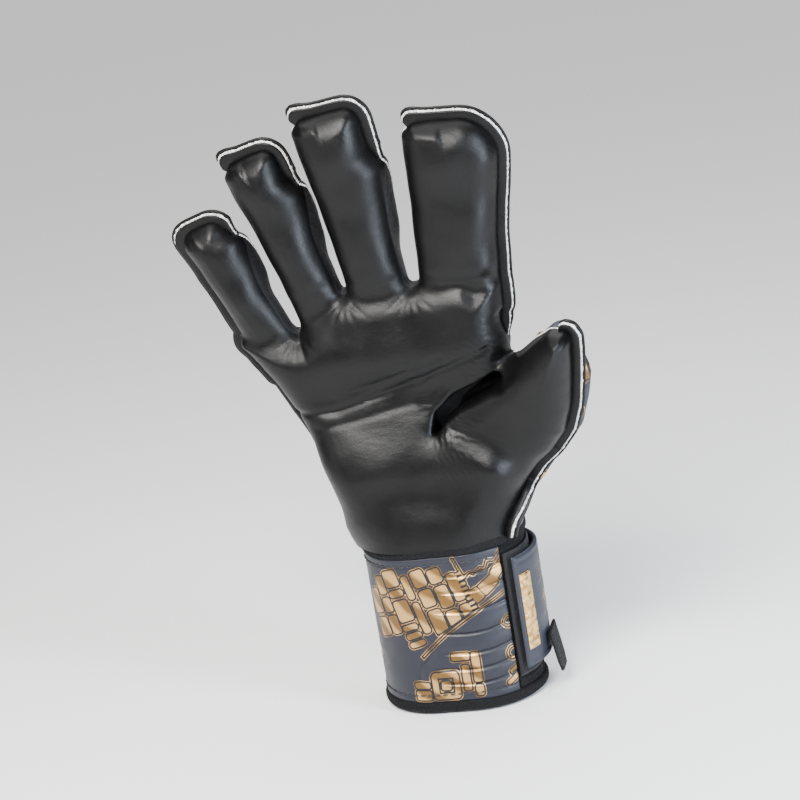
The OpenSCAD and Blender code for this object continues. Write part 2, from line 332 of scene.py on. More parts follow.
# swellings of the palm: height, middle across and along, and the sizes
PALM_HILLS = [(4.5, 38, 118, 22, 22), (2.5, -30, 120, 22, 24), (3.6, -20, 174, 46, 13),
              (1.5, 30, 186, 18, 20), (-2.2, -8, 156, 40, 9), (1.2, -10, 122, 34, 20)]
WRIST_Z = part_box("cuff_top_binding")[1].z / MM - 2  # the skin ends inside the cuff's top binding
CUFF_RADIUS = -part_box("cuff_panel")[0].y / MM
CUFF_CAP = -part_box("cuff_panel")[0].x / MM - CUFF_RADIUS  # the cuff's round ends are centred this far out
CUFF_THICK = 3.5


def palm_field(x, y, z):
    share = palm_edge_share(x, z) + DIGITS["index"].edge_share(x, z) * smooth(x, 28, 36)
    edge = polygon_distance(x, z, PALM_OUTLINE) - PALM_ROUND + FLANGE * share
    front = 15.5 + sum(height * hill(x, z, *at) for height, *at in PALM_HILLS)
    front = front - 6 * smooth(thumb_side(x, z), 0, 16)
    edge = edge + 5.5 * smooth(y, 0, 11) * smooth(x, 30, 40) * smooth(z, 156, 166)
    back = 16.5 + 1.5 * hill(x, z, -20, 190, 60, 16)
    flare = 1 - smooth(z, 80, 118)
    front, back = front + 8.5 * fall(z, 116, 152), back + 8 * flare
    half = (back + front) / 2
    return rounded(edge, np.abs(y - (back - front) / 2) - half, np.minimum(13 + 10 * flare, half))


def wrist_field(x, y, z):
    cap = np.hypot(np.maximum(np.abs(x) - CUFF_CAP, 0), y)
    return soft_max(cap - (CUFF_RADIUS - CUFF_THICK), z - 92, 14)


def skin_field(x, y, z):
    """Signed distance to the whole flat hand part."""
    seam_y = seam_height(x, z)
    field = soft_min(palm_field(x, y, z), wrist_field(x, y, z), 24)
    for digit in DIGITS.values():
        part = np.maximum(digit.field(x, y, z, seam_y), BURIED.get(digit.name, -26) - digit.local(x, z)[1])
        field = soft_min(field, part, 8 if digit is THUMB else 4)
    along = smooth(THUMB.reach(x, z), -2, 10)
    slit = (1.4 + 1.8 * along - line_distance(x, z, DART)) * (0.25 + 0.75 * along)
    slit = np.minimum(slit, np.abs(y - WEB_Y) - WEB_HALF)  # the web between palm and back stays
    return soft_max(field, slit, 3.0)


# ---- mesh tools

CORNERS = np.array([(i, j, k) for i in (0, 1) for j in (0, 1) for k in (0, 1)])
CELL_EDGES = [(a, b) for a in range(8) for b in range(a + 1, 8) if np.abs(CORNERS[a] - CORNERS[b]).sum() == 1]


def compact(triangles):
    """The vertices that the triangles use, and the triangles counted in those."""
    used, index = np.unique(triangles, return_inverse=True)
    return used, index.reshape(triangles.shape)


def surface_net(field, low, high, step):
    """Triangle mesh of the field's zero surface: one vertex for each grid cell that it crosses."""
    axes = [np.arange(low[i], high[i] + step, step) for i in range(3)]
    values = field(axes[0][:, None, None], axes[1][None, :, None], axes[2][None, None, :])
    inside = values < 0
    cells = tuple(n - 1 for n in values.shape)
    count = 0
    for corner in CORNERS:
        count = count + inside[tuple(slice(c, c + n) for c, n in zip(corner, cells))].astype(np.int8)
    active = np.argwhere((count > 0) & (count < 8))
    ids = np.full(cells, -1, np.int64)
    ids[tuple(active.T)] = np.arange(len(active))
    total, hits = np.zeros((len(active), 3)), np.zeros(len(active))
    for a, b in CELL_EDGES:
        va, vb = (values[tuple((active + CORNERS[end]).T)] for end in (a, b))
        crossed = (va < 0) != (vb < 0)
        t = np.where(crossed, va / np.where(crossed, va - vb, 1), 0)
        total += crossed[:, None] * (CORNERS[a] + t[:, None] * (CORNERS[b] - CORNERS[a]))
        hits += crossed
    vertices = np.array(low) + (active + total / hits[:, None]) * step
    triangles = []
    for axis in range(3):
        near = tuple(slice(0, -1) if i == axis else slice(1, -1) for i in range(3))
        far = tuple(slice(1, None) if i == axis else slice(1, -1) for i in range(3))
        found = np.argwhere(inside[near] != inside[far])
        found += [0 if i == axis else 1 for i in range(3)]
        j, k = np.eye(3, dtype=int)[[(axis + 1) % 3, (axis + 2) % 3]]
        quad = np.stack([ids[tuple((found - d).T)] for d in (j * 0, j, j + k, k)], 1)
        flip = ~inside[tuple(found.T)]
        quad[flip] = quad[flip][:, ::-1]
        triangles += [quad[:, [0, 1, 2]], quad[:, [0, 2, 3]]]
    used, triangles = compact(np.concatenate(triangles))
    return vertices[used], triangles


def edge_pairs(triangles):
    return np.concatenate([triangles[:, [0, 1]], triangles[:, [1, 2]], triangles[:, [2, 0]]])


def gradient(field, points, h=0.12):
    slope = np.empty_like(points)
    for i, d in enumerate(np.eye(3) * h):
        slope[:, i] = (field(*(points + d).T) - field(*(points - d).T)) / (2 * h)
    return slope


def settle(vertices, triangles, field, rounds):
    """Evens the vertices out and puts them back on the field's zero surface."""
    a, b = edge_pairs(triangles).T
    count = np.bincount(a, minlength=len(vertices))[:, None]
    for _ in range(rounds):
        total = np.stack([np.bincount(a, column[b], len(vertices)) for column in vertices.T], 1)
        vertices = vertices + 0.5 * (total / np.maximum(count, 1) - vertices)
        for _ in range(2):
            value, slope = field(*vertices.T), gradient(field, vertices)
            move = value / np.maximum((slope ** 2).sum(1), 0.25)
            vertices = vertices - slope * np.clip(move, -0.6, 0.6)[:, None]
    return vertices


def cut(vertices, triangles, level, snap=0.12):
    """Splits the triangles along the line where level(x, y, z) is zero."""
    values = level(*vertices.T)
    sign = np.where(np.abs(values) < snap, 0, np.sign(values)).astype(int)
    corner = sign[triangles]
    mixed = (corner.min(1) < 0) & (corner.max(1) > 0)
    keep, work = triangles[~mixed], triangles[mixed]
    pairs = np.sort(edge_pairs(work), 1)
    pairs = np.unique(pairs[sign[pairs[:, 0]] * sign[pairs[:, 1]] < 0], axis=0)
    a, b = pairs.T
    t = values[a] / (values[a] - values[b])
    fresh = vertices[a] + t[:, None] * (vertices[b] - vertices[a])
    lookup = {(i, j): n + len(vertices) for n, (i, j) in enumerate(pairs.tolist())}
    made = []
    for tri in work.tolist():
        s = [sign[i] for i in tri]
        lone = s.index(0) if 0 in s else s.index(-int(np.sign(sum(s))))
        i, j, k = tri[lone:] + tri[:lone]
        if 0 in s:
            m = lookup[(min(j, k), max(j, k))]
            made += [(i, j, m), (i, m, k)]
        else:
            m, n = lookup[(min(i, j), max(i, j))], lookup[(min(i, k), max(i, k))]
            made += [(i, m, n), (m, j, k), (m, k, n)]
    if made:
        keep = np.concatenate([keep, np.array(made)])
    return np.concatenate([vertices, fresh]), keep


def vertex_normals(vertices, triangles):
    a, b, c = vertices[triangles].transpose(1, 0, 2)
    face = np.cross(b - a, c - a)
    return unit(np.stack([sum(np.bincount(corner, column, len(vertices)) for corner in triangles.T)
                          for column in face.T], 1))


def border_edges(triangles):
    """Directed edges that only one triangle uses."""
    edges = edge_pairs(triangles)
    _, index, count = np.unique(np.sort(edges, 1), axis=0, return_index=True, return_counts=True)
    return edges[index[count == 1]]


def tube(rings):
    """Closed tube through rings of points (ring, place in the ring, xyz): its vertices and triangles."""
    count, m = rings.shape[:2]
    start = np.arange(count - 1)[:, None] * m
    a, b = (start + np.arange(m)).ravel(), (start + (np.arange(m) + 1) % m).ravel()
    fan = np.array([(0, n, n + 1) for n in range(1, m - 1)])
    faces = np.concatenate([np.stack([a, a + m, b + m], 1), np.stack([a, b + m, b], 1),
                            fan, fan[:, ::-1] + (count - 1) * m])
    vertices = rings.reshape(-1, 3)
    a, b, c = vertices[faces].transpose(1, 0, 2)
    return vertices, faces if (a * np.cross(b, c)).sum() > 0 else faces[:, ::-1]


def squared(value, power=0.5):
    """Pulls a circle's coordinate outward, so that the circle becomes a rounded box."""
    return np.copysign(np.abs(value) ** power, value)


def sweep(path, across, up, half_w, half_h, corner=8):
    """Closed bar along a path, its section a rounded box along the vectors across and up."""
    t = np.linspace(0, 2 * math.pi, 4 * corner, endpoint=False)[:, None] + 0.01
    ring = across * half_w * squared(np.cos(t)) + up * half_h * squared(np.sin(t))
    return tube(path[:, None] + ring)


def joined(meshes):
    """Several meshes as one; the ones without normals get their own."""
    rows, n = [], 0
    for vertices, faces, flat, normals in meshes:
        shown = vertex_normals(vertices, faces) if normals is None else normals
        rows.append((vertices, faces + n, flat, shown))
        n += len(vertices)
    return tuple(np.concatenate(column) for column in zip(*rows))


# ---- materials


def rgb(r, g, b):
    return (r, g, b, 1.0)


class Shader:
    """A procedural material under construction. Patterns read the mesh's flat coordinates, in millimetres."""

    def __init__(self, name, rough, metallic=0.0):
        self.material = bpy.data.materials.new(name)
        self.material.use_nodes = True
        self.tree = self.material.node_tree
        self.bsdf = self.tree.nodes["Principled BSDF"]
        self.set("Roughness", rough)
        self.set("Metallic", metallic)
        self.flat = self.node("ShaderNodeAttribute", attribute_name="flat").outputs["Vector"]
        self.normal = None

    def node(self, kind, **settings):
        made = self.tree.nodes.new(kind)
        for key, value in settings.items():
            setattr(made, key, value)
        return made

    def connect(self, value, socket):
        """Gives a socket a number or another node's result."""
        if isinstance(value, bpy.types.NodeSocket):
            self.tree.links.new(value, socket)
        else:
            socket.default_value = value

    def wire(self, node, **inputs):
        for key, value in inputs.items():
            self.connect(value, node.inputs[key.replace("_", " ")])
        return node

    def set(self, key, value):
        self.wire(self.bsdf, **{key: value})

    def texture(self, kind, stretch=(1, 1, 1), turned=0.0, **inputs):
        mapping = self.node("ShaderNodeMapping")
        self.wire(mapping, Vector=self.flat, Scale=stretch, Rotation=(0, turned, 0))
        return self.wire(self.node(kind), Vector=mapping.outputs["Vector"], **inputs).outputs["Fac"]

    def noise(self, lumps, detail=3.0, stretch=(1, 1, 1)):
        """Noise of the given number of lumps per millimetre."""
        return self.texture("ShaderNodeTexNoise", stretch, Scale=lumps, Detail=detail)

    def wave(self, scale, turned=0.0, distortion=0.0):
        return self.texture("ShaderNodeTexWave", turned=turned, Scale=scale, Distortion=distortion)

    def math(self, operation, a, b):
        made = self.node("ShaderNodeMath", operation=operation)
        self.connect(a, made.inputs[0])
        self.connect(b, made.inputs[1])
        return made.outputs[0]

    def ramp(self, value, low, high, to_low=0.0, to_high=1.0):
        """Maps low..high smoothly to to_low..to_high."""
        made = self.node("ShaderNodeMapRange", interpolation_type="SMOOTHSTEP")
        self.wire(made, Value=value, From_Min=low, From_Max=high, To_Min=to_low, To_Max=to_high)
        return made.outputs["Result"]

    def mix(self, share, a, b):
        made = self.node("ShaderNodeMix", data_type="RGBA")
        return self.wire(made, Factor=share, A=a, B=b).outputs["Result"]

    def paint(self, share, dark, light, specular=0.5):
        """Base colour between two colours."""
        self.set("Base Color", self.mix(share, rgb(*dark), rgb(*light)))
        self.set("Specular IOR Level", specular)

    def rough(self, noise, low, high):
        self.set("Roughness", self.ramp(noise, 0.3, 0.7, low, high))

    def bump(self, height, depth_mm, strength=1.0):
        made = self.node("ShaderNodeBump")
        self.wire(made, Distance=depth_mm * MM, Strength=strength, Height=height)
        if self.normal is not None:
            self.wire(made, Normal=self.normal)
        self.normal = made.outputs["Normal"]
        self.set("Normal", self.normal)


def latex_material():
    """Smooth black foam latex: satin, with a fine grain and soft mottling."""
    s = Shader("black_latex", 0.4)
    cloudy, grain = s.noise(0.06, 4), s.noise(1.6, 4)
    s.paint(cloudy, (0.0008, 0.0008, 0.0009), (0.002, 0.0019, 0.0019), 0.22)
    fine = s.ramp(grain, 0.3, 0.7, -0.03, 0.04)
    s.set("Roughness", s.math("ADD", s.ramp(cloudy, 0.3, 0.7, 0.37, 0.46), fine))
    s.bump(grain, 0.05)
    s.bump(s.noise(0.22, 5, (1, 1, 1.6)), 0.22, 0.6)
    return s.material


def foam_material():
    """Cut edge of the white foam: open-celled and rough."""
    s = Shader("white_foam", 0.9)
    cells = s.noise(2.2, 5)
    s.paint(s.ramp(cells, 0.35, 0.6), (0.30, 0.29, 0.28), (0.82, 0.80, 0.77))
    s.bump(cells, 0.35)
    return s.material


def gusset_material():
    """Stretch knit of the side panels."""
    s = Shader("gusset_knit", 0.5)
    ribs = s.math("MULTIPLY", s.wave(0.9, 0.7), s.wave(0.9, -0.7))
    s.paint(ribs, (0.004, 0.004, 0.005), (0.014, 0.014, 0.018), 0.3)
    s.rough(s.noise(0.5), 0.4, 0.58)
    s.bump(ribs, 0.12)
    return s.material


def binding_material():
    """Black overlocked tape: slanting threads over a ribbed ground."""
    s = Shader("black_binding", 0.75)
    threads = s.wave(0.42, 0.6, 1.2)
    s.paint(threads, (0.002, 0.002, 0.0025), (0.011, 0.011, 0.013), 0.2)
    s.rough(s.noise(0.8), 0.6, 0.85)
    s.bump(threads, 0.35)
    s.bump(s.wave(1.9, -0.5, 0.6), 0.12)
    return s.material


def loop_material():
    """Napped loop fabric."""
    s = Shader("loop_fabric", 0.95)
    nap = s.noise(2.4, 6)
    s.paint(s.ramp(nap, 0.4, 0.65), (0.002, 0.002, 0.0025), (0.016, 0.016, 0.019), 0.2)
    s.rough(nap, 0.85, 1.0)
    s.set("Sheen Weight", 0.12)
    s.bump(nap, 0.6)
    return s.material


def lining_material():
    """Grey brushed lining."""
    s = Shader("lining_knit", 0.9)
    knit = s.math("MULTIPLY", s.wave(0.7), s.wave(0.7, math.pi / 2))
    s.paint(knit, (0.03, 0.03, 0.033), (0.09, 0.09, 0.095))
    s.rough(s.noise(0.6), 0.8, 0.95)
    s.bump(knit, 0.25)
    return s.material


def printed_material(name, ground_dark, ground_light):
    """Slate panel with a metallic gold print. The attribute print holds the distance to the gold shapes."""
    s = Shader(name, 0.5)
    edge = s.node("ShaderNodeAttribute", attribute_name="print").outputs["Fac"]
    cloudy = s.noise(0.12, 4)
    ground = s.mix(cloudy, rgb(*ground_dark), rgb(*ground_light))
    gold = s.mix(s.ramp(s.wave(0.028, 0.9, 3.0), 0.15, 0.85), rgb(0.16, 0.085, 0.025), rgb(0.50, 0.30, 0.11))
    filled = s.ramp(edge, -0.15, 0.15, 1, 0)
    outline = s.math("MULTIPLY", s.ramp(edge, 0.0, 0.15), s.ramp(edge, 0.7, 0.85, 1, 0))
    hairline = s.math("MULTIPLY", s.ramp(edge, 0.75, 0.9), s.ramp(edge, 1.0, 1.15, 1, 0))
    shine = s.math("MAXIMUM", filled, hairline)
    s.set("Base Color", s.mix(shine, s.mix(outline, ground, rgb(0.004, 0.004, 0.004)), gold))
    s.set("Metallic", s.math("MULTIPLY", shine, 0.6))
    s.set("Roughness", s.math("ADD", s.ramp(cloudy, 0.3, 0.7, 0.40, 0.52), s.math("MULTIPLY", shine, -0.12)))
    s.set("Specular IOR Level", 0.35)
    s.bump(s.noise(1.8, 4), 0.07)
    s.bump(filled, 0.08)
    return s.material


def gold_material():
    """Moulded gold badge."""
    s = Shader("badge_gold", 0.3, metallic=0.9)
    worn = s.noise(0.35, 5)
    s.paint(s.ramp(worn, 0.35, 0.65), (0.42, 0.23, 0.07), (0.78, 0.52, 0.22))
    s.rough(worn, 0.24, 0.42)
    s.bump(s.noise(1.5, 4), 0.06)
    return s.material


def thread_material():
    """Twisted dark thread."""
    s = Shader("thread", 0.6)
    twist = s.wave(1.6, 0.8)
    s.paint(twist, (0.012, 0.012, 0.015), (0.05, 0.05, 0.058))
    s.bump(twist, 0.15)
    return s.material


LATEX = latex_material()
FOAM = foam_material()
GUSSET = gusset_material()
BINDING = binding_material()
LOOP = loop_material()
LINING = lining_material()
CUFF_PRINT = printed_material("printed_cuff", (0.006, 0.007, 0.012), (0.014, 0.016, 0.025))
BACK_PRINT = printed_material("printed_backhand", (0.010, 0.012, 0.019), (0.022, 0.026, 0.040))
GOLD = gold_material()
THREAD = thread_material()


# ---- gold print, a plain geometric pattern


def turned(x, z, cx, cz, degrees):
    """Coordinates about (cx, cz), turned."""
    a = math.radians(degrees)
    dx, dz = x - cx, z - cz
    return dx * math.cos(a) + dz * math.sin(a), dz * math.cos(a) - dx * math.sin(a)


def bar(x, z, cx, cz, w, h, degrees, corner=0.8):
    """Distance to a rounded rectangle."""
    u, v = turned(x, z, cx, cz, degrees)
    return rounded(np.abs(u) - w / 2, np.abs(v) - h / 2, corner)


def arc(x, z, cx, cz, radius, half, degrees, spread):
    """Distance to a piece of a ring, its middle at the given direction."""
    u, v = turned(x, z, cx, cz, degrees)
    off = np.abs(np.arctan2(v, u)) - math.radians(spread)
    return np.maximum(np.abs(np.hypot(u, v) - radius) - half, off * radius)


def motif(x, z, size=1.0):
    """One cluster about the origin: stepped columns, a toothed arc and discs."""
    x, z = x / size, z / size
    shapes = [bar(x, z, -10 + 5.2 * i, 6 - 1.6 * i, 3.4, 11 - 1.4 * i, -38) for i in range(4)]
    shapes += [bar(x, z, -15 + 5.6 * i, -4 - 2.2 * i, 4.2, 6.2, -38) for i in range(3)]
    shapes += [arc(x, z, -12, 9, 23, 1.5, -42, 34), arc(x, z, -12, 9, 29, 1.0, -42, 26)]
    for degrees in -70 + 9.5 * np.arange(7):
        u, v = turned(x, z, -12, 9, degrees)
        shapes.append(bar(u, v, 26, 0, 3.4, 1.5, 0, 0.5))
    shapes += [np.abs(np.hypot(x - 9, z - 11) - 3.2) - 1.0]
    shapes += [np.hypot(x - cx, z - cz) - radius for cx, cz, radius in ((-20, 8, 2.4), (-4, -14, 1.7))]
    return np.minimum.reduce(shapes) * size


# ---- pieces


def place(name, data):
    """A new object in the scene."""
    made = bpy.data.objects.new(name, data)
    bpy.context.scene.collection.objects.link(made)
    return made


def add_piece(name, vertices, faces, material, slot, flat=None, normals=None, print_edge=None):
    """A mesh object from millimetre coordinates, with its flat coordinates for the material."""
    mesh = bpy.data.meshes.new(name)
    mesh.from_pydata((vertices * MM).tolist(), [], faces.tolist())
    layer = mesh.attributes.new("flat", "FLOAT_VECTOR", "POINT")
    layer.data.foreach_set("vector", (vertices if flat is None else flat).astype(np.float32).ravel())
    if print_edge is not None:
        layer = mesh.attributes.new("print", "FLOAT", "POINT")
        layer.data.foreach_set("value", print_edge.astype(np.float32))
    mesh.materials.append(material)
    mesh.shade_smooth()
    if normals is not None:
        mesh.normals_split_custom_set_from_vertices(normals.tolist())
    made = place(name, mesh)
    return made


def bend(made, near, far, low, high):
    """Bakes the piece's placement into its mesh; the bodies near and far are not used, and the points low and
    high are turned to metres but not used.
    """
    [tuple(float(v) * MM for v in point) for point in (low, high)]
    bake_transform(made)


# ---- the hand skin

SKIN_STEP = 1.15
SKIN_LOW, SKIN_HIGH = (-112.0, -34.0, 74.0), (96.0, 32.0, 300.0)
SKIN_THICK = 1.6
# sections of the sewn edge's layers: how far out, and how far from the palm's side to the back's
EDGE_IN = -1.5
PALM_LAYER = [(EDGE_IN, -1.9), (3.1, -1.8), (3.6, -1.4), (3.6, -0.6), (EDGE_IN, -0.6)]
FOAM_LAYER = [(EDGE_IN, -0.75), (3.9, -0.7), (4.2, -0.4), (4.2, 0.4), (3.9, 0.7), (EDGE_IN, 0.75)]
BACK_LAYER = [(EDGE_IN, 0.55), (4.9, 0.6), (5.4, 1.1), (5.2, 2.2), (4.6, 2.6), (EDGE_IN, 2.4)]
REAR_LINE = [(-0.6, -0.55), (0.35, -0.45), (0.45, 0.0), (0.35, 0.45), (-0.6, 0.55)]
STRIP_STEP = 0.9  # between two sections
FOAM_ROUGH, LAYER_ROUGH = 0.16, 0.02  # how much a layer's edge wanders

CROTCHES = [(-52, 188), (-26, 202), (5.5, 202)]
# wrinkles of the palm: width, depth and line
WRINKLES = [(1.6, 0.9, [(-62, 149), (-38, 150), (-12, 156), (14, 164), (38, 172)]),
            (1.3, 0.45, [(-30, 158), (-8, 163), (16, 171)]), (1.5, 0.35, [(-48, 142), (-22, 146), (0, 150)])]
# patches of fine folds: middle, size, direction, length of a fold and its height
RIPPLES = [(6, 158, 22, 7, 112, 3.4, 0.16), (14, 124, 9, 14, 8, 2.8, 0.22), (22, 140, 10, 8, 60, 3.2, 0.15),
           (34, 168, 14, 8, 70, 3.0, 0.14)]
# motifs of the backhand: middle, direction and size
BACK_MOTIFS = [(-30, 150, 0, 1.5), (20, 178, 40, 1.2), (55, 128, -30, 1.1), (66, 158, 60, 0.9),
               (-66, 196, 20, 0.8), (10, 112, 100, 1.0), (44, 100, 10, 0.8), (-15, 245, 0, 0.8),
               (30, 240, 30, 0.9)]


def front_level(x, y, z):
    return y - seam_height(x, z) + gusset_width(x, z)


def back_level(x, y, z):
    return y - seam_height(x, z) - gusset_width(x, z)


def digit_level(digit):
    """Positive on the digit's own pieces."""
    if digit is THUMB:
        return lambda x, y, z: thumb_side(x, z)
    return lambda x, y, z: np.minimum(digit.reach(x, z) - ROOT_CUT, 5.5 - digit.outline(x, z))


def wrinkle(x, z, points, width, depth):
    return -depth * bell(line_distance(x, z, points), width)


def ripples(x, z, cx, cz, rx, rz, degrees, length, depth):
    """A patch of parallel fine folds, wandering a little."""
    u, v = turned(x, z, cx, cz, degrees)
    wander = 0.9 * np.sin(v * 0.31 + 1.3) + 0.5 * np.sin(v * 0.83)
    return depth * np.sin(2 * math.pi * (u + wander) / length) * bell(u, rx) * bell(v, rz)


def palm_relief(x, z):
    """Folds and creases of the palm latex."""
    height = sum(wrinkle(x, z, points, width, depth) for width, depth, points in WRINKLES)
    height += sum(ripples(x, z, *patch) for patch in RIPPLES)
    for cx, cz in CROTCHES:
        for angle in np.radians((-58, -30, -4, 22, 50)):
            ends = [(cx + r * math.sin(angle), cz - r * math.cos(angle)) for r in (5, 17)]
            height += wrinkle(x, z, ends, 1.0, 0.4) * fall(np.hypot(x - cx, z - cz), 6, 17)
    for name, lift in (("ring", -8), ("middle", -10), ("index", -13)):
        (rx, _, rz), half = DIGITS[name].root, 0.7 * SHAPES[name]["root"][0]
        ends = [(rx - half, rz + lift + 3), (rx, rz + lift), (rx + half, rz + lift + 2)]
        height += wrinkle(x, z, ends, 2.6, 0.45)
    return height


def back_relief(x, z):
    """Raised rounded bars of the backhand."""
    roots = [DIGITS[name].root for name in FINGERS]
    bars = [bar(x, z, rx + 3 * j, rz - 8 - 15 * j, 11, 9, 0, 3.0)
            for rx, _, rz in roots for j in range(-4, 5)]
    u, v = THUMB.local(x, z)
    bars += [bar(u, v, 13.98 - 0.11 * at - 0.004 * at ** 2, at - 18, 22, 6.4, 0, 3.0)
             for at in range(0, 90, 9)]
    return 1.3 * smooth(-np.minimum.reduce(bars), -0.6, 1.4)


def backhand_print(x, z):
    return np.minimum.reduce([motif(*turned(x, z, *at), size) for *at, size in BACK_MOTIFS])


def relief(points, front, back):
    """Height of the surface detail over the smooth skin; front and back are 0..1 masks."""
    x, y, z = points.T
    soft = np.sin(x * 0.21 + 1.1 * np.sin(z * 0.13)) * np.sin(z * 0.17 + 0.8 * np.sin(x * 0.11 + y * 0.1))
    return front * palm_relief(x, z) + back * back_relief(x, z) + 0.22 * soft


def curl_all(points):
    """The flat skin bent to the frame's rest pose."""
    x, z = points[:, 0], points[:, 2]
    nearest = np.stack([DIGITS[name].outline(x, z) for name in FINGERS]).argmin(0)
    bent = points.copy()
    for i, name in enumerate(FINGERS):
        mine = (nearest == i) & (DIGITS[name].reach(x, z) > -12)
        bent[mine] = DIGITS[name].curl(points[mine])
    side = -polygon_distance(x, z, THUMB_SIDE)
    mine = (side > -6) & (THUMB.reach(x, z) > -1)
    bent[mine] = THUMB.curl(points[mine], smooth(side[mine], -5, 5))
    return bent


def shell(flat, vertices, normals, triangles):
    """Closed shell of the given triangles: outer face, inner face and rim."""
    used, index = compact(triangles)
    n = len(used)
    a, b = border_edges(index).T
    rim = [np.stack([b, a, a + n], 1), np.stack([b, a + n, b + n], 1)]
    faces = np.concatenate([index, index[:, ::-1] + n] + rim)
    outer, out = vertices[used], normals[used]
    both = np.concatenate([outer, outer - out * SKIN_THICK])
    return both, faces, np.tile(flat[used], (2, 1)), np.concatenate([out, -out])


def seam_lines(mine, other):
    """Chains of vertices along the seams that one set of triangles has with another."""
    shared = {(b, a) for a, b in border_edges(other).tolist()}
    after = dict(edge for edge in border_edges(mine).tolist() if tuple(edge) in shared)
    lines = []
    for head in sorted(set(after) - set(after.values())):
        line = [head]
        while line[-1] in after and len(line) <= len(after):
            line.append(after[line[-1]])
        lines.append(line)
    return lines


def evened(rows, rounds):
    """Rows of a path averaged with their neighbours; the ends stay."""
    for _ in range(rounds):
        rows[1:-1] = 0.25 * rows[:-2] + 0.5 * rows[1:-1] + 0.25 * rows[2:]
    return rows


def edge_strip(flat, bent, normals, line, section, sewn):
    """One layer of a sewn edge, swept along a seam; with sewn it is as wide as the seam's share says."""
    steps = np.linalg.norm(np.diff(bent[line], axis=0), axis=1)
    along = np.concatenate([[0], np.cumsum(steps)])
    count = max(3, int(along[-1] / STRIP_STEP))
    at = np.linspace(0, along[-1], count)
    path, flats, out = (np.stack([np.interp(at, along, column) for column in rows[line].T], 1)
                        for rows in (bent, flat, normals))
    path, out = evened(path, 3), evened(out, 4)
    ahead = unit(np.gradient(path, axis=0))
    out = unit(out - (out * ahead).sum(1)[:, None] * ahead)
    side = np.cross(ahead, out)
    if side[:, 1].mean() < 0:
        side = -side
    x, z = flats[:, 0], flats[:, 2]
    share = np.ones(count)
    if sewn:
        share = edge_share(x, z) * (1 + sum(DIGITS[name].ear(x, z) for name in FINGERS))
    foam = section is FOAM_LAYER
    # the palm covers the foam along the glove's outer left side
    covered = fall(x, -84, -74) * fall(z, 226, 240) + fall(x, -48, -40) * fall(z, 200, 208)
    rough = np.random.default_rng(count).normal(0, FOAM_ROUGH if foam else LAYER_ROUGH, (count, len(section)))
    rings = []
    for n, (o, b) in enumerate(section):
        reach = EDGE_IN + (o - EDGE_IN) * share if sewn else np.full(count, o)
        reach = reach + rough[:, n] * share * (o > 0) - 1.2 * share * covered * foam
        rings.append(path + out * reach[:, None] + side * b)
    return *tube(np.stack(rings, 1)), np.repeat(flats, len(section), 0), None


FEWEST = 12  # triangles that make a piece; fewer are stray slivers at a corner
PARTS = ["hand"] + [f"{name}_{end}" for name in SHAPES for end in ("base", "tip")]
LAYER_LOOKS = {"palm": (LATEX, "latex"), "back": (BACK_PRINT, "back_panel"), "gusset": (GUSSET, "elastic")}
# the CAD nodes that each piece takes the place of
STANDS_FOR = {
    "hand_palm": ["palm_latex", "palm_lining"],
    "hand_back": ["backhand_panel", "backhand_lining"],
    "hand_gusset": ["index_side_wall", "heel_side_wall", "finger_webs"],
    "hand_foam": ["hand_foam_edge", "pinky_side_wall"],
}
for name in SHAPES:
    for end in ("base", "tip"):
        STANDS_FOR[f"{name}_{end}_palm"] = [f"{name}_palm_{end}"]
        STANDS_FOR[f"{name}_{end}_back"] = [f"{name}_back_{end}"]
    STANDS_FOR[f"{name}_tip_foam"] = [f"{name}_foam_edge"]
for name in FINGERS:
    STANDS_FOR[f"{name}_base_gusset"] = [f"{name}_gussets"]

WRIST_BEND = (WRIST_Z + 1, WRIST_Z + 22)  # points above the wrist, passed to bend between the cuff and the hand


def fasten(made, part):
    """Passes a hand piece, the two bodies that it crosses and its bend's two points to bend, which only bakes
    its placement.
    """
    if part == "hand":
        bend(made, "cuff", "hand", *((0, 0, z) for z in WRIST_BEND))
        return
    name, end = part.split("_")
    digit = DIGITS[name]
    if end == "base":
        bend(made, "hand", part, *(digit.root + digit.along * v for v in digit.root_bend))
    else:
        tilted = digit.along * math.cos(digit.root_curl) - np.array([0, 1, 0]) * math.sin(digit.root_curl)
        bend(made, name + "_base", part, *(digit.mid_rest + tilted * v for v in digit.middle_bend))


def add_hand_piece(part, layer, meshes, look, slot):
    vertices, faces, flats, shown = joined(meshes)
    print_edge = backhand_print(flats[:, 0], flats[:, 2]) if layer == "back" else None
    made = add_piece(f"{part}_{layer}", vertices, faces, look, slot, flats, shown, print_edge)
    fasten(made, part)


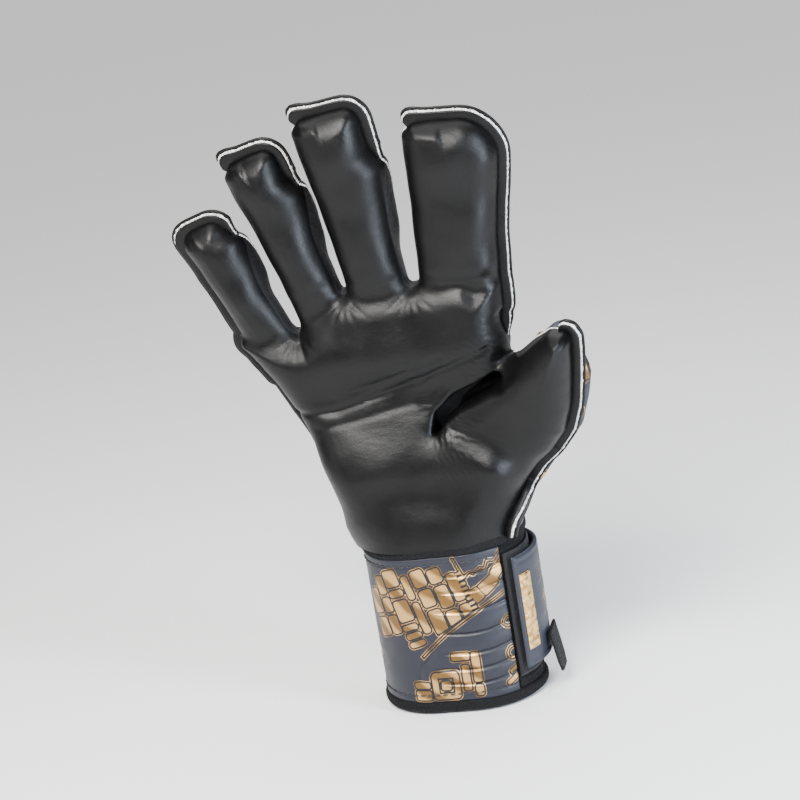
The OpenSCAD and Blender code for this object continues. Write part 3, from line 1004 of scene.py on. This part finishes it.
def build_skin():
    """The whole hand part, cut into its sewn pieces."""
    digits = DIGITS.values()
    flat, triangles = surface_net(skin_field, SKIN_LOW, SKIN_HIGH, SKIN_STEP)
    flat = settle(flat, triangles, skin_field, 3)
    levels = [lambda x, y, z: z - WRIST_Z, front_level, back_level] + [digit_level(digit) for digit in digits]
    levels += [lambda x, y, z, d=digit: d.reach(x, z) - d.split for digit in digits]
    for level in levels:
        flat, triangles = cut(flat, triangles, level)
    triangles = triangles[flat[triangles].mean(1)[:, 2] > WRIST_Z]
    x, y, z = flat[triangles].mean(1).T
    layer = np.where(front_level(x, y, z) < 0, 0, np.where(back_level(x, y, z) > 0, 1, 2))
    part = np.zeros(len(triangles), int)
    for i, digit in enumerate(digits):
        mine = digit_level(digit)(x, y, z) > 0
        part[mine] = 1 + 2 * i + (digit.reach(x, z) > digit.split)[mine]

    normals = vertex_normals(flat, triangles)
    height = relief(flat, smooth(-front_level(*flat.T), 0.2, 4), smooth(back_level(*flat.T), 0.2, 3))
    bent = curl_all(flat + normals * height[:, None])
    normals = vertex_normals(bent, triangles)
    of_layer = [triangles[layer == j] for j in range(len(LAYER_LOOKS))]
    for i, part_name in enumerate(PARTS):
        strips = {"palm": [], "back": [], "gusset": [], "foam": []}
        own = [triangles[(part == i) & (layer == j)] for j in range(len(LAYER_LOOKS))]
        for line in seam_lines(own[0], of_layer[1]):
            for key, section in (("palm", PALM_LAYER), ("foam", FOAM_LAYER), ("palm", BACK_LAYER)):
                strips[key].append(edge_strip(flat, bent, normals, line, section, True))
        for line in seam_lines(own[1], of_layer[2]):
            strips["foam"].append(edge_strip(flat, bent, normals, line, REAR_LINE, False))
        for chosen, (layer_name, (look, slot)) in zip(own, LAYER_LOOKS.items()):
            if len(chosen) >= FEWEST:
                meshes = [shell(flat, bent, normals, chosen)] + strips[layer_name]
                add_hand_piece(part_name, layer_name, meshes, look, slot)
        if strips["foam"]:
            add_hand_piece(part_name, "foam", strips["foam"], FOAM, "foam")
    for piece, nodes in STANDS_FOR.items():
        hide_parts(*nodes)


def build_web():
    """Stretch band behind the slit, from the palm to the thumb."""
    points = np.array([(x, 0.0, z) for x, z in DART])
    path = [a + (b - a) * t for a, b in zip(points, points[1:]) for t in np.linspace(0, 1, 6, endpoint=False)]
    path = np.array(path + [points[-1], points[-1] + [4.0, 0, 3.0]])
    across = unit(np.array([0.5, 0, -0.86]))
    made = add_piece("thumb_web", *sweep(path, across, np.array([0, 1.0, 0]), 7.5, 5.5), GUSSET, "elastic")
    bend(made, "hand", "thumb_base", path[12] - across * 5, path[12] + across * 5)
    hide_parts("thumb_web_gusset", "thumb_gussets")


# ---- cuff and strap, sheets round the oval

CAP_ARC = CUFF_RADIUS * math.pi
# along the cuff's outer face from its front middle towards the thumb, the first corner is at CUFF_CAP
PERIMETER = 4 * CUFF_CAP + 2 * CAP_ARC


def round_cap(degrees):
    """Distance along the cuff to a direction on the thumb side's cap (0 is +X, 90 is the back)."""
    return CUFF_CAP + math.radians(degrees + 90) * CUFF_RADIUS


def back_cap(degrees):
    """The same on the little finger side's cap (90 is the back, 180 is -X)."""
    return 3 * CUFF_CAP + CAP_ARC + math.radians(degrees - 90) * CUFF_RADIUS


def on_oval(s, offset):
    """Points and outward directions at distances s along the cuff's oval."""
    s = np.mod(s + CUFF_CAP, PERIMETER) - CUFF_CAP
    turns = [np.clip((s - start) / CUFF_RADIUS, 0, math.pi) for start in (CUFF_CAP, 3 * CUFF_CAP + CAP_ARC)]
    angle = turns[0] + turns[1] - math.pi / 2
    straight = np.clip(s, -CUFF_CAP, CUFF_CAP) - np.clip(s - CUFF_CAP - CAP_ARC, 0, 2 * CUFF_CAP)
    nx, ny = np.cos(angle), np.sin(angle)
    return straight + nx * (CUFF_RADIUS + offset), ny * (CUFF_RADIUS + offset), nx, ny


def sheet(name, node, body, s_range, z_range, offsets, look, slot, relief_at=None, print_at=None,
          step=0.8, roll=1.0, closed=False):
    """A sheet of cloth round the cuff between two offsets, with rolled edges, for a CAD node and a body."""
    inner, outer = offsets
    s, z = (np.linspace(*span, max(2, int((span[1] - span[0]) / step)) + 1) for span in (s_range, z_range))
    if closed:
        s = s[:-1]
    sg, zg = np.meshgrid(s, z, indexing="ij")
    to_edge = np.minimum(zg - z_range[0], z_range[1] - zg)
    if not closed:
        to_edge = np.minimum(to_edge, np.minimum(sg - s_range[0], s_range[1] - sg))
    drop = np.clip(1 - to_edge / roll, 0, 1)
    rolled = (outer - inner) * (1 - np.sqrt(1 - drop ** 2))
    top, low = outer - 0.5 * rolled, inner + 0.49 * rolled
    if relief_at is not None:
        top = top + relief_at(sg, zg) * (1 - drop)
    rows = [np.stack([*on_oval(sg, face)[:2], zg], -1).reshape(-1, 3) for face in (top, low)]
    index = np.arange(sg.size).reshape(sg.shape)
    borders = [index[0], index[-1][::-1]]
    if closed:
        index, borders = np.concatenate([index, index[:1]]), []
    borders += [index[:, 0][::-1], index[:, -1]]
    up = np.stack([index[:-1, :-1], index[1:, :-1], index[1:, 1:], index[:-1, 1:]], -1).reshape(-1, 4)
    faces = [up, up[:, ::-1] + sg.size]
    faces += [np.stack([a[:-1], a[1:], a[1:] + sg.size, a[:-1] + sg.size], 1) for a in borders]
    flat = np.tile(np.stack([sg, zg * 0, zg], -1).reshape(-1, 3), (2, 1))
    edge = None if print_at is None else np.tile(print_at(sg, zg).ravel(), 2)
    made = add_piece(name, np.concatenate(rows), np.concatenate(faces), look, slot, flat, None, edge)
    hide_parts(node)
    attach(made, body)


HEM_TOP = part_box("cuff_hem_binding")[1].z / MM
BAND_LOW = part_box("cuff_top_binding")[0].z / MM
CUFF_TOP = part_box("cuff_top_binding")[1].z / MM
PANEL_END, PANEL_START = round_cap(-45), back_cap(150) - PERIMETER
STITCH_LINES = (HEM_TOP + 3.2, BAND_LOW - 3.2)
STITCH_PITCH = 3.7
LOOP_ENDS, LOOP_Z = (round_cap(-44), round_cap(62)), (12, 74)
CHANNELS = [15.8, 23.0, 31.6, 41.4, 52.0, 62.4, 70.4]


def cuff_relief(s, z):
    """Sewn channels on the thumb side half, the curved ridge where they end, and soft padding."""
    ridge = s + 12.5 - 6 * bell(z - 34, 7) - 10 * smooth(z, 44, 76)
    right = smooth(ridge, -2, 14)
    height = 0.5 * smooth(s, -60, -20) - 0.2
    for i, level in enumerate(CHANNELS):
        line = level - 2.2 * np.sin(math.pi * np.clip((s + 12) / 46, 0, 1)) + 0.3 * math.sin(i * 2.1)
        height += right * (0.35 * bell(z - line - 3.8, 2.6) - 1.1 * bell(z - line, 0.8))
    height += (0.7 * bell(ridge, 1.6) - 0.5 * bell(ridge + 3.4, 1.3)) * smooth(z, 10, 20) * fall(z, 40, 60)
    return height - 0.35 * sum(bell(z - level, 0.7) for level in STITCH_LINES)


# the print's slanted columns: place and width across, then the middles and lengths of the bars along
PRINT_LEAN = 16
PRINT_COLUMNS = [(-29, 8, [(10, 12), (-3, 9)]), (-20.6, 5.5, [(17, 9), (7, 7), (-3, 9)]),
                 (-12.6, 8, [(19, 8), (11.4, 3.2), (2.4, 10.5), (-6.2, 2.6), (-10.6, 2.6), (-15.0, 2.6)]),
                 (-5.2, 3.2, [(12.5, 12), (-3.5, 16)]), (1.6, 6.2, [(15, 8.5), (4.6, 8.5), (-8.4, 13)]),
                 (9.4, 6.0, [(13.5, 7), (2.6, 11), (-10, 10)]), (16.4, 4.6, [(5, 14), (-7.8, 7)])]
PRINT_LINE = (12.0, 46.8, 30)  # the diagonal hairline under the columns: a point on it and its slope
# bars at the right and the bottom: middle, size, direction and corner
PRINT_BARS = [(30.5, 68.5, 10, 4.8, 40, 0.8), (24.2, 62, 9.5, 6.2, 32, 0.8), (17.6, 58, 4.6, 6.5, 32, 0.8),
              (29.5, 12.5, 8, 2, 28, 0.6), (30.5, 17, 5, 2.6, 28, 0.6), (5.2, 28.2, 8.6, 3.4, 0, 1),
              (12.2, 22.2, 3.6, 15, 0, 1), (6.8, 17.4, 3.4, 13, 0, 1), (12.2, 10.4, 3.6, 5, 0, 1),
              (-15.2, 14.6, 7.5, 3, 0, 1), (-15.2, 9.4, 7.5, 4.6, 0, 1), (-3.6, 14, 4.4, 4.4, 0, 1),
              (-52, 24, 8, 5, 10, 1.5), (-50, 66, 8, 7, 12, 1.5)]
PRINT_ARCS = [(31, 41.5, 2.6, 0.25, 180, 110), (31, 25.5, 3.0, 0.25, 180, 120), (-44, 34, 6, 1.3, 200, 80)]
PRINT_ZIGZAG = [(9, 77), (13, 67.2), (15.5, 69.5), (17.5, 68.4), (21, 71), (23, 70), (24.5, 73.6), (28, 73),
                (32, 76.5)]


def cuff_print(s, z):
    """Plain gold bars: slanted columns at the upper left, blocks at the bottom, a few bits at the right."""
    u, v = turned(s, z, -6, 54, PRINT_LEAN)
    columns = [bar(u, v, cu, cv, w, h, 0, min(1.4, h / 2 - 0.2, w / 2 - 0.2))
               for cu, w, bars in PRINT_COLUMNS for cv, h in bars]
    columns += [bar(u, v, 20.2, 10.4 - 2.6 * i, 2.6, 1.3, 0, 0.4) for i in range(9)]
    along, above = turned(s, z, *PRINT_LINE)
    block = bar(s, z, -3.6, 14.0, 13, 13.5, 0, 2.0)
    shapes = [np.maximum(np.minimum.reduce(columns), 2.0 - above), np.maximum(block, -block - 2.6)]
    shapes += [np.maximum(np.abs(above + 0.004 * along ** 2 - 0.6) - 0.2, np.abs(along) - 30)]
    shapes += [line_distance(s, z, PRINT_ZIGZAG) - 0.2]
    shapes += [bar(s, z, *at) for at in PRINT_BARS] + [arc(s, z, *at) for at in PRINT_ARCS]
    return np.minimum.reduce(shapes)


def overlock(low, high):
    """Slanting threads of an overlocked tape between two heights."""
    def threads(s, z):
        inside = np.sin(math.pi * (z - low) / (high - low))
        return inside * (0.35 * np.abs(np.sin(math.pi * (s / 2.4 + 0.35 * np.sin(z * 2.1)))) + 0.25)
    return threads


def stitches(name, s_values, height, length=2.4, half=0.32):
    """A row of short raised threads along the cuff."""
    t = np.linspace(-0.5, 0.5, 5)
    meshes = []
    for s in s_values:
        px, py, nx, ny = on_oval(s + t * length, half * (1 - 6 * t * t))
        path, out = np.stack([px, py, t * 0 + height], 1), np.array([nx[-1], ny[-1], 0])
        vertices, faces = sweep(path, np.array([0, 0, 1.0]), out, half, half, 2)
        meshes.append((vertices, faces, vertices, None))
    vertices, faces, _, _ = joined(meshes)
    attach(add_piece(name, vertices, faces, THREAD, "elastic"), "cuff")


def knit_ribs(s, z):
    return 0.3 * np.sin(z * 2.1) + 0.2 * np.sin(s * 0.8) * np.sin(z * 0.3)


def build_cuff():
    panel_z, around = (HEM_TOP - 1, BAND_LOW + 1), (0, PERIMETER)
    sheet("cuff_panel_skin", "cuff_panel", "cuff", (PANEL_START, PANEL_END), panel_z, (-CUFF_THICK, 0.1),
          CUFF_PRINT, "cuff_print", cuff_relief, cuff_print, 0.5, 1.2)
    sheet("cuff_elastic_knit", "cuff_elastic", "cuff", (PANEL_END, back_cap(150)), panel_z,
          (-CUFF_THICK, -0.3), BINDING, "elastic", knit_ribs, roll=1.2)
    sheet("cuff_lining_tube", "cuff_lining", "cuff", around, (1, CUFF_TOP - 1),
          (-CUFF_THICK - 1, -CUFF_THICK), LINING, "lining", step=1.6, roll=0.4, closed=True)
    for name, node, low, high in (("cuff_top_tape", "cuff_top_binding", BAND_LOW, CUFF_TOP),
                                  ("cuff_hem_tape", "cuff_hem_binding", 0, HEM_TOP)):
        sheet(name, node, "cuff", around, (low, high), (-CUFF_THICK, 0.8), BINDING, "elastic",
              overlock(low, high), step=0.5, roll=1.6, closed=True)
    sheet("loop_fabric_patch", "loop_patch", "cuff", LOOP_ENDS, LOOP_Z, (0, 1.1),
          LOOP, "hook_loop", lambda s, z: 0.12 * np.sin(s * 3.1) * np.sin(z * 2.7), step=0.7, roll=0.6)
    for i, level in enumerate(STITCH_LINES):
        stitches(f"cuff_stitches_{i}", np.arange(PANEL_START + 4, PANEL_END - 3, STITCH_PITCH), level)


STRAP_LOW, STRAP_HIGH = (v.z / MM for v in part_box("strap_end"))
STRAP_OFF, STRAP_TOP = 2.7, 5.2  # the strap's inner and outer face, from the cuff's
HINGE_BACK, HINGE_SIDE = back_cap(134), round_cap(67.5)
STRAP_TIP = round_cap(-40)
BADGE_Z = tuple(v.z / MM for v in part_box("strap_badge"))


def strap_relief(s, z):
    """Pressed lines along the strap and a flat sewn border."""
    height = -0.35 * bell(np.minimum(z - STRAP_LOW, STRAP_HIGH - z) - 3.4, 0.6)
    for level in np.linspace(STRAP_LOW + 11, STRAP_HIGH - 11, 5):
        height = height - 0.4 * bell(z - level, 0.7) * smooth(np.abs(s - STRAP_TIP), 14, 20)
    return height


def badge_grooves(s, z):
    """Plain slanted grooves across the badge."""
    cuts = np.abs(((z - 0.6 * (s - STRAP_TIP)) / 7.6) % 1 - 0.5) - 0.02
    return -0.5 * bell(cuts * 7.6, 0.55) * smooth(np.minimum(z - BADGE_Z[0], BADGE_Z[1] - z), 1, 3)


def strap_print(s, z):
    return np.minimum(motif(*turned(s, z, 110, 44, 20), 1.3), motif(*turned(s, z, 72, 40, -30), 1.0))


def build_strap():
    for name, node, body, start, end, inner, outer in (
            ("strap_anchor_sewn", "strap_anchor", "cuff", HINGE_BACK, back_cap(154.5), 0, STRAP_TOP - 0.2),
            ("strap_back_band", "strap_band", "strap_band", HINGE_SIDE, HINGE_BACK, STRAP_OFF, STRAP_TOP),
            ("strap_end_flap", "strap_end", "strap_end", STRAP_TIP, HINGE_SIDE, STRAP_OFF, STRAP_TOP)):
        sheet(name, node, body, (start, end), (STRAP_LOW, STRAP_HIGH), (inner, outer), BACK_PRINT,
              "back_panel", strap_relief, strap_print)
    sheet("strap_badge_bar", "strap_badge", "strap_end", (round_cap(-37), round_cap(-24)), BADGE_Z,
          (STRAP_TOP - 0.3, STRAP_TOP + 0.9), GOLD, "gold", badge_grooves, step=0.4)
    sheet("hook_fabric_patch", "hook_patch", "strap_end", (round_cap(-34), round_cap(50)),
          (STRAP_LOW + 4, STRAP_HIGH - 4), (STRAP_OFF - 1.2, STRAP_OFF), LOOP, "hook_loop",
          lambda s, z: 0.1 * np.sin(s * 4) * np.sin(z * 4), roll=0.5)


def build_tab():
    """The pull tab: a flat tape that hangs from the strap's corner and leans away from the cuff."""
    low, high = (np.array(v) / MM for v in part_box("pull_tab"))
    t = np.linspace(0, 1, 26)
    path = np.stack([low[0] + 1 + 3.2 * t, t * 0, high[2] - 1 - (high[2] - low[2] - 2) * t], 1)
    ahead = unit(path[-1] - path[0])
    width = (high[1] - low[1]) / 2 * (1 - 0.25 * smooth(t, 0.6, 1.0) ** 2)
    angle = 2 * math.pi * (np.arange(18)[:, None] + 0.5) / 18
    across = squared(np.cos(angle), 0.35) * np.array([0, 1, 0])
    thick = 0.95 * np.sin(angle) * np.array([-ahead[2], 0, ahead[0]])
    made = add_piece("pull_tab_tape", *tube(path[:, None] + width[:, None, None] * across + thick),
                     BINDING, "elastic")
    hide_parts("pull_tab")
    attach(made, "pull_tab")


# ---- studio

VIEW_AZIMUTH, VIEW_HEIGHT, VIEW_LEAN = 13.0, 15.0, 9.5  # degrees; the glove leans left in the photograph
FLOOR_REACH = 40.0
# soft boxes: name, place and size in metres, watts and colour
SOFT_BOXES = [("key", (-0.12, -0.60, 0.84), (0.5, 0.4), 26, (1.0, 0.98, 0.96)),
              ("right_strip", (0.58, -0.34, 0.30), (0.16, 0.6), 11, (0.78, 0.87, 1.0)),
              ("left_fill", (-0.7, -0.5, 0.35), (0.3, 0.5), 1.5, (1.0, 1.0, 1.0))]


def area_light(aim, name, at, size, power, color):
    data = bpy.data.lights.new(name, "AREA")
    data.energy, data.color, data.shape = power, color, "RECTANGLE"
    data.size, data.size_y = size
    lamp = place(name, data)
    lamp.location = at
    lamp.rotation_euler = (aim - Vector(at)).to_track_quat("-Z", "Y").to_euler()


def build_floor():
    mesh = bpy.data.meshes.new("floor")
    corners = [(x * FLOOR_REACH, y * FLOOR_REACH, 0) for x, y in ((-1, -1), (1, -1), (1, 1), (-1, 1))]
    mesh.from_pydata(corners, [], [(0, 1, 2, 3)])
    pale = Shader("pale_floor", 0.9)
    pale.set("Base Color", rgb(0.8, 0.8, 0.8))
    mesh.materials.append(pale.material)
    floor = place("floor", mesh)
    floor.location.z = -0.0005
    floor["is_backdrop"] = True


def build_studio():
    """Floor, soft lights and the camera at the photograph's viewing angle."""
    build_floor()
    world = bpy.data.worlds.new("studio")
    world.use_nodes = True
    background = world.node_tree.nodes["Background"]
    background.inputs["Color"].default_value = rgb(0.93, 0.94, 0.96)
    background.inputs["Strength"].default_value = 0.08
    bpy.context.scene.world = world
    low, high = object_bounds()
    centre = (Vector(low) + Vector(high)) / 2
    for light in SOFT_BOXES:
        area_light(centre, *light)
    overhead = place("overhead", bpy.data.lights.new("overhead", "SUN"))
    overhead.data.energy, overhead.data.angle = 3.2, math.radians(70)
    overhead.rotation_euler = (math.radians(-25), 0, 0)  # it comes from behind the glove

    camera = place("camera", bpy.data.cameras.new("camera"))
    camera.data.lens = 100
    camera.data.clip_end = 20
    a, e = math.radians(VIEW_AZIMUTH), math.radians(VIEW_HEIGHT)
    back = Vector((math.sin(a) * math.cos(e), -math.cos(a) * math.cos(e), math.sin(e)))
    camera.location = centre + back * 1.05
    upright = (-back).to_track_quat("-Z", "Y").to_matrix().to_4x4()
    camera.rotation_euler = (upright @ Matrix.Rotation(math.radians(-VIEW_LEAN), 4, "Z")).to_euler()
    bpy.context.scene.camera = camera


build_skin()
build_web()
build_cuff()
build_strap()
build_tab()
build_studio()
